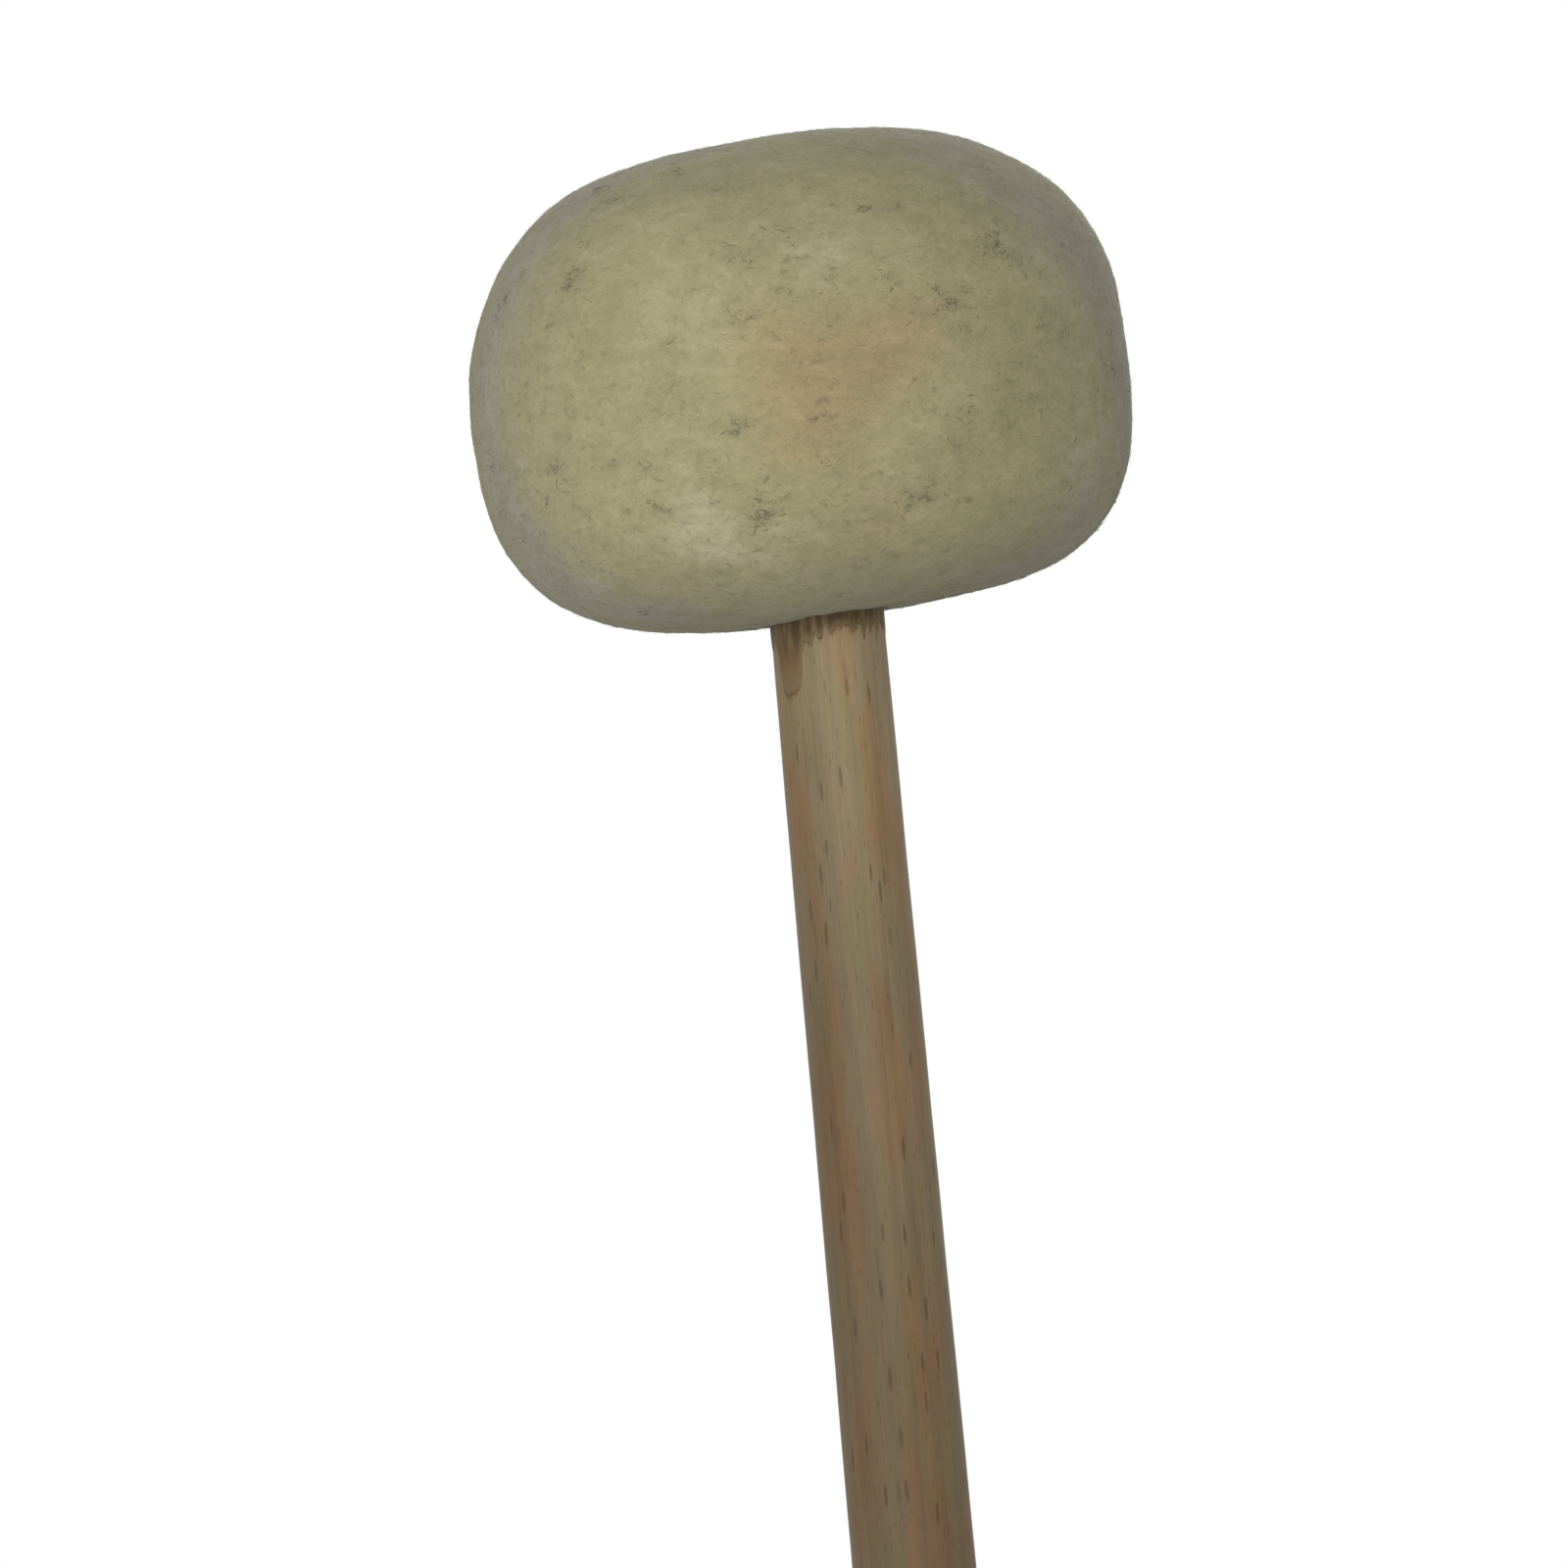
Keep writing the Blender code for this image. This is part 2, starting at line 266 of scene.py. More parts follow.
def start_group(name, inputs, outputs):
    """An empty shader group with named inputs and outputs."""
    group = bpy.data.node_groups.new(name, "ShaderNodeTree")
    for socket, kind, value in inputs:
        made = group.interface.new_socket(socket, in_out="INPUT", socket_type=kind)
        made.default_value = value
    for socket, kind in outputs:
        group.interface.new_socket(socket, in_out="OUTPUT", socket_type=kind)
    return group, add(group, "NodeGroupInput"), add(group, "NodeGroupOutput")


def noise_node(tree, coordinates, scale, detail=3.0, roughness=0.55, distortion=0.0):
    made = add(
        tree,
        "ShaderNodeTexNoise",
        {"Scale": scale, "Detail": detail, "Roughness": roughness, "Distortion": distortion},
    )
    tree.links.new(coordinates, made.inputs["Vector"])
    return made.outputs["Fac"]


def spread(tree, value, low, high, to_low=0.0, to_high=1.0, smooth=True):
    """Stretches a range of a value over another, and clamps it there."""
    made = add(
        tree,
        "ShaderNodeMapRange",
        {"From Min": low, "From Max": high, "To Min": to_low, "To Max": to_high},
        interpolation_type="SMOOTHSTEP" if smooth else "LINEAR",
    )
    tree.links.new(value, made.inputs["Value"])
    return made.outputs["Result"]


def math_node(tree, operation, first, second=None):
    made = add(tree, "ShaderNodeMath", operation=operation)
    for index, value in enumerate((first, second)):
        if value is None:
            continue
        if isinstance(value, (int, float)):
            made.inputs[index].default_value = value
        else:
            tree.links.new(value, made.inputs[index])
    return made.outputs[0]


def times(tree, first, second):
    return math_node(tree, "MULTIPLY", first, second)


def plus(tree, first, second):
    return math_node(tree, "ADD", first, second)


def minus(tree, first, second):
    return math_node(tree, "SUBTRACT", first, second)


def summed(tree, patterns):
    """How far patterns stand off their middle value, each at its own strength, added together."""
    total = None
    for pattern, strength in patterns:
        part = times(tree, minus(tree, pattern, 0.5), strength)
        total = part if total is None else plus(tree, total, part)
    return total


def shaded(tree, colour, shade):
    """A colour made lighter or darker: a shade of 0 leaves it as it is."""
    made = add(tree, "ShaderNodeVectorMath", operation="SCALE")
    tree.links.new(colour, made.inputs[0])
    tree.links.new(plus(tree, shade, 1.0), made.inputs["Scale"])
    return made.outputs[0]


def tinted(tree, share, colour, tint):
    """A colour, multiplied by a tint as far as the share says."""
    return blend_colours(tree, share, colour, blend_colours(tree, 1.0, colour, tint, "MULTIPLY"))


def blend_colours(tree, share, first, second, kind="MIX"):
    made = add(tree, "ShaderNodeMix", data_type="RGBA", blend_type=kind)
    for socket, value in ((0, share), (6, first), (7, second)):
        if isinstance(value, (int, float)):
            made.inputs[socket].default_value = value
        elif isinstance(value, tuple):
            made.inputs[socket].default_value = (*value, 1.0)
        else:
            tree.links.new(value, made.inputs[socket])
    return made.outputs[2]


def hair_lines(tree, coordinates, scale, width, distortion):
    """Thin curled lines, as single hairs of wool lie: 1 on a line, 0 off it."""
    field = noise_node(tree, coordinates, scale, 1.0, 0.4, distortion)
    off = math_node(tree, "ABSOLUTE", minus(tree, field, 0.5))
    return spread(tree, off, 0.0, width, 1.0, 0.0)


def wool_group():
    """Mottled felted wool: clouds, specks and curled hairs, with patches of other shades."""
    group, start, end = start_group(
        "felted_wool",
        [
            ("Main", "NodeSocketColor", (0.3, 0.3, 0.2, 1.0)),
            ("Pink", "NodeSocketColor", (0.3, 0.3, 0.2, 1.0)),
            ("Grey", "NodeSocketColor", (0.3, 0.3, 0.2, 1.0)),
            ("Pale", "NodeSocketColor", (0.3, 0.3, 0.2, 1.0)),
            ("Dark", "NodeSocketColor", (0.1, 0.1, 0.1, 1.0)),
            ("Pink Patch", "NodeSocketFloat", 0.0),
            ("Grey Wool and Rim Sheen", "NodeSocketFloat", 0.0),
            ("Pale Patch", "NodeSocketFloat", 0.0),
            ("Dark Patch", "NodeSocketFloat", 0.0),
        ],
        [("Color", "NodeSocketColor"), ("Height", "NodeSocketFloat")],
    )
    place = add(group, "ShaderNodeTexCoord").outputs["Object"]
    # Wool lies round the head, so its pattern is flatter than it is wide
    lying_map = add(group, "ShaderNodeMapping", {"Scale": (1.0, 1.0, 1.6)})
    group.links.new(place, lying_map.inputs["Vector"])
    lying = lying_map.outputs["Vector"]
    cloud = noise_node(group, place, 75.0, 2.0, 0.5)
    mottle = noise_node(group, lying, 270.0, 4.0, 0.56, 0.5)
    tangle = noise_node(group, lying, 620.0, 2.0, 0.5, 1.4)
    grain = noise_node(group, lying, 1500.0, 3.0, 0.6, 1.0)
    ragged = noise_node(group, lying, 900.0, 4.0, 0.7, 1.6)
    thick = spread(group, noise_node(group, place, 170.0, 2.0), 0.42, 0.62)
    speck = spread(group, noise_node(group, lying, 760.0, 1.0, 0.5, 0.4), 0.58, 0.76)
    speck = times(group, speck, thick)
    broken = spread(group, noise_node(group, place, 620.0, 2.0), 0.47, 0.60)
    pale_hair = times(group, hair_lines(group, lying, 420.0, 0.022, 2.2), broken)
    dark_hair = times(group, hair_lines(group, lying, 360.0, 0.016, 2.6), thick)

    def patchy(name, low=0.0, high=1.15):
        rough = times(group, minus(group, mottle, 0.5), 1.3)
        return spread(group, plus(group, start.outputs[name], rough), low, high)

    colour = blend_colours(group, patchy("Pink Patch"), start.outputs["Main"], start.outputs["Pink"])
    # The grey patches: grey wool on the sides and back, and painted grey sheen along the front's rim
    colour = blend_colours(group, patchy("Grey Wool and Rim Sheen"), colour, start.outputs["Grey"])
    colour = blend_colours(group, patchy("Pale Patch"), colour, start.outputs["Pale"])

    shade = summed(
        group, ((cloud, 0.26), (mottle, 0.38), (tangle, 0.34), (grain, 0.22), (ragged, 0.20))
    )
    shade = plus(group, shade, times(group, pale_hair, 0.10))
    colour = shaded(group, colour, shade)

    # Dark wool: a ragged core where it is thick, and a soft stain round it
    core = times(group, minus(group, ragged, 0.5), 3.0)
    core = plus(group, start.outputs["Dark Patch"], core)
    core = times(group, spread(group, core, 0.45, 1.0), 0.66)
    stain = times(group, start.outputs["Dark Patch"], 0.18)
    scattered = math_node(group, "MAXIMUM", times(group, speck, 0.36), times(group, dark_hair, 0.20))
    dark = math_node(group, "MAXIMUM", math_node(group, "MAXIMUM", core, stain), scattered)
    group.links.new(blend_colours(group, dark, colour, start.outputs["Dark"]), end.inputs["Color"])

    height = times(group, mottle, 0.45)
    height = plus(group, height, times(group, grain, 0.30))
    height = plus(group, height, times(group, pale_hair, 0.10))
    height = minus(group, height, times(group, speck, 0.15))
    group.links.new(height, end.inputs["Height"])
    return group


def finish_with(name, group, values, roughness, bump, masks=(), specular=0.5, sheen=0.0):
    """A material whose colour and bump come from one pattern group."""
    made = bpy.data.materials.new(name)
    made.use_nodes = True
    tree = made.node_tree
    shader = tree.nodes["Principled BSDF"]
    shader.inputs["Roughness"].default_value = roughness
    shader.inputs["Specular IOR Level"].default_value = specular
    shader.inputs["Sheen Weight"].default_value = sheen
    shader.inputs["Sheen Roughness"].default_value = 0.6
    pattern = add(tree, "ShaderNodeGroup", node_tree=group)
    for socket, value in values.items():
        pattern.inputs[socket].default_value = (*value, 1.0) if isinstance(value, tuple) else value
    for socket, attribute in masks:
        source = add(tree, "ShaderNodeAttribute", attribute_name=attribute)
        tree.links.new(source.outputs["Fac"], pattern.inputs[socket])
    tree.links.new(pattern.outputs["Color"], shader.inputs["Base Color"])
    if "Roughness" in pattern.outputs:
        tree.links.new(pattern.outputs["Roughness"], shader.inputs["Roughness"])
    relief = add(tree, "ShaderNodeBump", {"Strength": 1.0, "Distance": bump})
    tree.links.new(pattern.outputs["Height"], relief.inputs["Height"])
    tree.links.new(relief.outputs["Normal"], shader.inputs["Normal"])
    return made


# Felt head

# Soft swellings and hollows of the hand-shaped felt: the way they face from the head's middle
# (degrees up from the handle's right in the picture, degrees towards the camera), their height
# in mm, and their reach in degrees
SWELLINGS = (
    (157.0, 0.0, -0.45, 15.0),
    (185.0, 0.0, 0.35, 14.0),
    (104.0, 0.0, -0.55, 17.0),
    (82.0, 0.0, -0.30, 14.0),
    (52.0, 0.0, -0.35, 15.0),
    (-38.4, 0.0, 0.60, 12.0),
    (-71.0, 0.0, -0.95, 13.0),
    (-12.0, 0.0, -0.30, 14.0),
    (-138.0, 0.0, 0.15, 14.0),
    (-108.0, 0.0, 0.35, 10.0),
    (-88.0, 17.0, -0.55, 8.0),
)

# Shades of wool on the front, by their place in the picture from the head's middle, in mm, with their reach;
# the grey ones are painted grey sheen along the front's rim
PINK_PATCHES = (
    (-4.0, 7.0, 6.0, 0.5), (3.0, 1.5, 8.0, 0.75), (11.0, 4.5, 6.5, 0.6), (-1.0, -5.5, 6.5, 0.6),
    (15.0, 7.5, 5.0, 0.35), (-38.0, 2.0, 5.0, 0.5), (-36.5, -12.0, 5.0, 0.5), (-20.0, -23.0, 6.0, 0.4),
    (8.0, -17.0, 6.0, 0.4),
)
PALE_PATCHES = (
    (-13.5, -17.0, 6.0, 0.65), (-7.0, -19.0, 5.0, 0.3), (-17.0, -9.0, 6.0, 0.25),
    (-13.0, 9.0, 7.0, 0.25), (4.0, 17.0, 6.0, 0.25),
)
# Painted grey sheen along the front's rim, laid in as greyer wool
GREY_RIM_SHEEN_PATCHES = (
    (-39.5, 1.1, 7.5, 1.0), (-37.0, 12.0, 7.0, 0.9), (-32.0, 21.0, 7.0, 0.9), (-24.0, 27.0, 7.0, 0.9),
    (-38.0, -12.0, 8.0, 1.0), (-32.0, -20.0, 8.0, 0.9), (-20.0, -25.5, 8.0, 0.8), (-10.0, 31.0, 7.0, 0.7),
    (1.1, -28.0, 9.0, 0.8), (24.0, -24.0, 9.0, 0.9), (39.5, -3.3, 8.0, 0.9), (36.0, 12.0, 8.0, 0.9),
    (33.0, -16.0, 7.0, 0.7), (30.0, 20.0, 8.0, 0.8), (20.0, 28.0, 8.0, 0.8), (5.0, 32.0, 7.0, 0.7),
)
# Tufts of darker wool on the front, in the same way, with how thick each is
DARK_TUFTS = (
    (18.6, 9.1, 1.9, 1.0), (17.0, 11.2, 1.2, 0.8), (20.6, 10.9, 1.1, 0.8), (19.8, 6.2, 1.4, 0.7),
    (23.0, 5.6, 1.7, 0.45), (15.4, 8.2, 1.3, 0.5), (24.4, 15.6, 2.2, 0.8), (27.6, 14.2, 1.9, 0.6),
    (29.6, 16.6, 1.5, 0.5), (-6.2, 9.5, 1.2, 1.0), (-16.0, 7.6, 1.0, 0.8), (11.6, 13.1, 1.5, 0.7),
    (9.5, 21.9, 1.1, 0.9), (13.2, 21.5, 1.0, 0.5), (-8.3, 17.8, 2.0, 0.55), (-5.2, 16.9, 1.8, 0.55),
    (-0.5, 19.5, 1.6, 0.4), (-27.8, 15.8, 1.5, 1.0), (-26.6, 17.3, 1.1, 0.8), (-30.4, 11.1, 1.1, 0.7),
    (-33.2, 17.6, 1.5, 0.7), (-35.7, 14.7, 1.7, 0.7), (-23.2, 26.8, 1.9, 0.7), (-21.7, 25.3, 1.4, 0.5),
    (-19.3, 29.1, 1.3, 0.5), (-13.1, 28.3, 1.2, 0.6), (-25.0, 20.5, 1.4, 0.5), (30.3, 11.8, 1.4, 0.6),
    (29.7, 5.5, 1.6, 0.8), (32.3, 4.7, 1.3, 0.6), (18.5, -3.4, 1.5, 0.6), (20.4, -4.6, 1.6, 0.6),
    (0.7, -3.3, 0.9, 0.9), (-9.2, -4.0, 1.8, 0.65), (-7.6, -3.0, 1.3, 0.6), (-31.4, -6.4, 1.6, 1.0),
    (-24.2, -6.5, 1.2, 0.85), (-19.6, -7.7, 1.0, 0.6), (-28.5, 0.4, 1.1, 0.6), (-34.4, 1.2, 1.2, 0.5),
    (-19.4, 1.6, 0.8, 0.6), (-10.7, -8.6, 1.5, 0.6), (-13.4, -10.0, 1.5, 0.55), (-6.6, -14.7, 2.2, 0.95),
    (-6.9, -12.5, 1.1, 0.85), (-3.6, -12.6, 1.2, 0.6), (-19.4, -12.5, 1.6, 0.8), (-17.6, -13.2, 1.2, 0.5),
    (-26.1, -16.5, 1.0, 0.9), (-28.9, -18.3, 0.9, 0.6), (13.8, -14.0, 1.2, 0.95), (11.4, -14.6, 1.9, 0.6),
    (2.8, -9.8, 1.2, 0.6), (17.5, -8.3, 1.5, 0.5), (30.6, -13.9, 1.3, 0.7), (38.1, -0.5, 2.4, 0.7),
    (-21.2, -24.8, 1.1, 0.6), (-35.9, -14.6, 1.1, 0.6), (-39.1, -5.5, 1.1, 0.6), (-33.0, -10.0, 1.1, 0.5),
    (22.0, -14.0, 1.2, 0.4), (33.0, -8.0, 1.2, 0.45), (-22.0, 6.0, 1.0, 0.5), (5.0, 12.0, 1.3, 0.4),
    (-14.0, 1.0, 1.0, 0.4), (8.0, -19.5, 1.4, 0.4), (24.5, -1.0, 1.2, 0.4), (-12.0, -21.0, 1.2, 0.4),
)


def head_turn():
    return np.array(Matrix.Rotation(-HEAD_LEAN, 3, "Y"))


def gauge(points):
    """1 on the rounded-square head, less inside it. Points are from the head's middle, leaning with it."""
    out = np.hypot(points[:, 0], points[:, 1]) / HEAD_RADIUS
    above = points[:, 2] >= 0
    height = np.abs(points[:, 2]) / np.where(above, HEAD_RISE, HEAD_DROP)
    power = np.where(above, CROWN_POWER, BASE_POWER)
    return (out ** power + height ** power) ** (1 / power)


def swelling(directions):
    """How far the hand-shaped felt stands off the true shape, along each direction."""
    total = np.zeros(len(directions))
    for up, forward, height, reach in SWELLINGS:
        up, forward = math.radians(up), math.radians(forward)
        level = math.cos(forward)
        way = np.array((math.cos(up) * level, -math.sin(forward), math.sin(up) * level))
        angle = np.degrees(np.arccos(np.clip(directions @ way, -1.0, 1.0)))
        total += height * MM * np.exp(-((angle / reach) ** 2))
    return total


def felt_relief(points):
    """Fine unevenness of the felt: slow undulations, small dimples and grain."""
    relief = np.empty(len(points))
    for index, point in enumerate(points / MM):
        at = Vector(point)
        slow = noise.noise(at * 0.055)
        middle = noise.noise(at * 0.17 + Vector((7.0, 3.0, 1.0)))
        fine = noise.noise(at * 0.55 + Vector((2.0, 9.0, 4.0)))
        grain = noise.noise(at * 1.1 + Vector((5.0, 5.0, 8.0)))
        relief[index] = 0.32 * slow + 0.16 * middle + 0.055 * fine + 0.03 * grain
    return relief * MM


def head_surface(directions, relief=True):
    """Points of the felt's outer surface along directions from the handle's axis at the head's middle."""
    start = np.array((0.0, 0.0, HEAD_MIDDLE.z))
    middle = np.array(HEAD_MIDDLE)
    turn = head_turn()
    reach = np.full(len(directions), HEAD_RADIUS)
    for _ in range(12):
        local = (start + directions * reach[:, None] - middle) @ turn
        reach = reach / gauge(local)
    reach = reach + swelling(directions)
    points = start + directions * reach[:, None]
    if relief:
        points = points + directions * felt_relief(points)[:, None]
    return points


def even_angles(first, count):
    """Polar angles from a start near the bore up to the crown, at even steps along the surface."""
    fine = np.linspace(first, math.pi, 2000)
    ways = np.stack([np.sin(fine), np.zeros_like(fine), -np.cos(fine)], axis=1)
    points = head_surface(ways, relief=False)
    walked = np.concatenate([[0.0], np.cumsum(np.linalg.norm(np.diff(points, axis=0), axis=1))])
    return np.interp(np.linspace(0.0, walked[-1], count), walked, fine)


def rings_mesh(name, rings, foot=None, crown=None):
    """A skin through rings of points, closed by a point at either end if one is given."""
    columns = len(rings[0])
    points = [tuple(point) for ring in rings for point in ring]
    faces = []
    for row in range(len(rings) - 1):
        for column in range(columns):
            beside = (column + 1) % columns
            low, high = row * columns, (row + 1) * columns
            faces.append((low + column, low + beside, high + beside, high + column))
    for pole, row, flip in ((foot, 0, True), (crown, len(rings) - 1, False)):
        if pole is None:
            continue
        points.append(tuple(pole))
        for column in range(columns):
            pair = (row * columns + column, row * columns + (column + 1) % columns)
            faces.append((*(pair[::-1] if flip else pair), len(points) - 1))
    mesh = bpy.data.meshes.new(name)
    mesh.from_pydata(points, [], faces)
    mesh.validate()
    mesh.shade_smooth()
    made = bpy.data.objects.new(name, mesh)
    bpy.context.scene.collection.objects.link(made)
    return made


def circle(radius, height, columns):
    angles = np.arange(columns) * math.tau / columns
    return np.stack([radius * np.cos(angles), radius * np.sin(angles), np.full(columns, height)], axis=1)


def make_felt_head():
    """The felt shell: its fine outer surface, the hollow that holds the pads, and the bore."""
    bore = NECK_RADIUS + GAP
    angles = even_angles(math.atan2(bore, HEAD_DROP), FELT_ROWS + 1)
    around = np.arange(FELT_COLUMNS) * math.tau / FELT_COLUMNS
    outer = []
    for angle in angles[:-1]:
        ways = np.stack([
            math.sin(angle) * np.cos(around),
            math.sin(angle) * np.sin(around),
            np.full(FELT_COLUMNS, -math.cos(angle)),
        ], axis=1)
        outer.append(head_surface(ways))
    mouth = circle(bore, 0.0, FELT_COLUMNS)
    outer[0][:, :2] = mouth[:, :2]
    crown = head_surface(np.array([[0.0, 0.0, 1.0]]))[0]

    radius = wrap_high.x + GAP
    rise = upper_high.z + GAP - HEAD_MIDDLE.z
    drop = HEAD_MIDDLE.z - lower_low.z + GAP
    floor = HEAD_MIDDLE.z - drop
    hollow = [circle(bore, floor, FELT_COLUMNS)]
    for step in range(1, HOLLOW_ROWS):
        angle = -math.pi / 2 + math.pi * step / HOLLOW_ROWS
        half, power = (rise, CROWN_POWER) if angle >= 0 else (drop, BASE_POWER)
        out = radius * math.cos(angle) ** (2 / power)
        above = math.copysign(half * abs(math.sin(angle)) ** (2 / power), angle)
        hollow.append(circle(max(out, bore), HEAD_MIDDLE.z + above, FELT_COLUMNS))
    top = (0.0, 0.0, HEAD_MIDDLE.z + rise)
    wall = []
    for step in range(1, BORE_ROWS):
        share = step / BORE_ROWS
        ring = mouth.copy()
        ring[:, 2] = floor + (outer[0][:, 2] - floor) * share
        wall.append(ring)
    head = rings_mesh("felt_head", hollow[::-1] + wall + outer, foot=top, crown=crown)
    hidden = (len(hollow) + len(wall) + 2) * FELT_COLUMNS
    seen = np.ones(len(head.data.vertices))
    seen[:hidden] = 0.0
    seen[-2] = 0.0
    mark_points(head.data, "outside", seen)
    return head


def mouth_height(angle):
    """How high the felt's underside meets the handle, on one side of it."""
    down = math.atan2(NECK_RADIUS + GAP, HEAD_DROP)
    way = np.array([[
        math.sin(down) * math.cos(angle), math.sin(down) * math.sin(angle), -math.cos(down),
    ]])
    return float(head_surface(way)[0, 2])


def seen_on_felt(x, z):
    """The point of the felt that the camera sees at a place in the handle's plane, from the head's middle."""
    eye = np.array(camera_place())
    target = np.array((x * MM, 0.0, HEAD_MIDDLE.z + z * MM))
    ray = (target - eye) / np.linalg.norm(target - eye)
    turn = head_turn()
    middle = np.array(HEAD_MIDDLE)
    reach = CAMERA_DISTANCE - 1.2 * HEAD_RADIUS
    point = eye + ray * reach
    while gauge(((point - middle) @ turn)[None])[0] > 1.0 and reach <= CAMERA_DISTANCE:
        reach += SIGHT_STEP
        point = eye + ray * reach
    return point


def random_on_felt(draw):
    """A point on the sides or the back of the felt, away from what the photograph shows."""
    while True:
        way = np.array([draw.gauss(0, 1), draw.gauss(0, 1), draw.gauss(0, 1)])
        way /= np.linalg.norm(way)
        if way[1] > -0.15:
            return head_surface(way[None], relief=False)[0]


def mark_points(mesh, name, values):
    mark = mesh.attributes.new(name, "FLOAT", "POINT")
    mark.data.foreach_set("value", np.clip(values, 0.0, 1.0).astype(np.float32))


def paint_patches(head):
    """Writes on each point of the felt how much of each other shade of wool lies there, and how much painted
    grey sheen lies along the front's rim.
    """
    places = np.array([v.co for v in head.data.vertices])
    draw = random.Random(WOOL_SEED)
    # After the front's patches: the reach (mm), strength and number of those elsewhere, and their flatness
    shades = (
        ("pink_wool", PINK_PATCHES, (5.0, 10.0), (0.5, 0.9), 22, 1.0),
        ("pale_wool", PALE_PATCHES, (4.0, 8.0), (0.3, 0.7), 22, 1.2),
        # grey: painted grey sheen along the front's rim, and grey wool elsewhere
        ("grey_wool_and_rim_sheen", GREY_RIM_SHEEN_PATCHES, (6.0, 11.0), (0.5, 1.0), 30, 1.0),
        ("dark_wool", DARK_TUFTS, (0.9, 2.2), (0.4, 1.0), 90, 1.7),
    )
    for name, patches, sizes, strengths, others, flatness in shades:
        spots = [(seen_on_felt(x, z), reach, strength) for x, z, reach, strength in patches]
        for _ in range(others):
            spots.append((random_on_felt(draw), draw.uniform(*sizes), draw.uniform(*strengths)))
        total = np.zeros(len(places))
        for spot, reach, strength in spots:
            off = (places - spot) * np.array((1.0, 1.0, flatness))
            away = (off ** 2).sum(axis=1)
            total += strength * np.exp(-away / (reach * MM) ** 2)
        mark_points(head.data, name, total)


# Loose wool on the felt

def loose_wool_tree(name, thick_where):
    """Short curled hairs of wool, lying over a surface where an attribute says that they are thick."""
    tree = bpy.data.node_groups.new(name, "GeometryNodeTree")
    face = tree.interface
    face.new_socket("Surface", in_out="INPUT", socket_type="NodeSocketGeometry")
    for socket, kind in (
        ("Hairs per Square Metre", "NodeSocketFloat"),
        ("Length", "NodeSocketFloat"),
        ("Thickness", "NodeSocketFloat"),
        ("Lift", "NodeSocketFloat"),
        ("Curl", "NodeSocketFloat"),
        ("Turn", "NodeSocketFloat"),
        ("Seed", "NodeSocketInt"),
        ("Wool", "NodeSocketMaterial"),
    ):
        face.new_socket(socket, in_out="INPUT", socket_type=kind)
    face.new_socket("Hairs", in_out="OUTPUT", socket_type="NodeSocketGeometry")
    start, end = add(tree, "NodeGroupInput"), add(tree, "NodeGroupOutput")
    join = tree.links.new

    thick = add(tree, "GeometryNodeInputNamedAttribute", {"Name": thick_where}, data_type="FLOAT")
    scatter = add(tree, "GeometryNodeDistributePointsOnFaces", distribute_method="RANDOM")
    join(start.outputs["Surface"], scatter.inputs["Mesh"])
    density = times(tree, start.outputs["Hairs per Square Metre"], thick.outputs["Attribute"])
    join(density, scatter.inputs["Density"])
    join(start.outputs["Seed"], scatter.inputs["Seed"])

    # Each hair lies along the felt, roughly round the head
    round_head = add(tree, "ShaderNodeVectorMath", {1: (0.0, 0.0, 1.0)}, operation="CROSS_PRODUCT")
    join(scatter.outputs["Normal"], round_head.inputs[0])
    upright = add(tree, "FunctionNodeAlignRotationToVector", axis="Z")
    join(scatter.outputs["Normal"], upright.inputs["Vector"])
    along = add(tree, "FunctionNodeAlignRotationToVector", axis="X", pivot_axis="Z")
    join(upright.outputs["Rotation"], along.inputs["Rotation"])
    join(round_head.outputs[0], along.inputs["Vector"])
    swing = add(tree, "FunctionNodeRandomValue", data_type="FLOAT")
    join(times(tree, start.outputs["Turn"], -1.0), swing.inputs[2])
    join(start.outputs["Turn"], swing.inputs[3])
    join(start.outputs["Seed"], swing.inputs["Seed"])
    about = add(tree, "FunctionNodeAxisAngleToRotation", {"Axis": (0.0, 0.0, 1.0)})
    join(swing.outputs[1], about.inputs["Angle"])
    turned_hair = add(tree, "FunctionNodeRotateRotation", rotation_space="LOCAL")
    join(along.outputs["Rotation"], turned_hair.inputs["Rotation"])
    join(about.outputs["Rotation"], turned_hair.inputs["Rotate By"])
    size = add(tree, "FunctionNodeRandomValue", {2: 0.45, 3: 1.3}, data_type="FLOAT")
    join(plus(tree, start.outputs["Seed"], 1.0), size.inputs["Seed"])

    # One hair, a metre long: it leaves the felt at its root, and its tip stands off
    line = add(tree, "GeometryNodeCurvePrimitiveLine", {"Start": (0.0, 0.0, 0.0), "End": (1.0, 0.0, 0.0)})
    hair = add(tree, "GeometryNodeResampleCurve", {"Count": 5})
    join(line.outputs["Curve"], hair.inputs["Curve"])
    step = add(tree, "GeometryNodeSplineParameter").outputs["Factor"]
    rise = times(tree, math_node(tree, "POWER", step, 1.6), start.outputs["Lift"])
    offset = add(tree, "ShaderNodeCombineXYZ")
    join(minus(tree, rise, 0.02), offset.inputs["Z"])
    bent = add(tree, "GeometryNodeSetPosition")
    join(hair.outputs["Curve"], bent.inputs["Geometry"])
    join(offset.outputs[0], bent.inputs["Offset"])

    planted = add(tree, "GeometryNodeInstanceOnPoints")
    join(scatter.outputs["Points"], planted.inputs["Points"])
    join(bent.outputs["Geometry"], planted.inputs["Instance"])
    join(turned_hair.outputs["Rotation"], planted.inputs["Rotation"])
    join(times(tree, start.outputs["Length"], size.outputs[1]), planted.inputs["Scale"])
    loose = add(tree, "GeometryNodeRealizeInstances")
    join(planted.outputs["Instances"], loose.inputs["Geometry"])

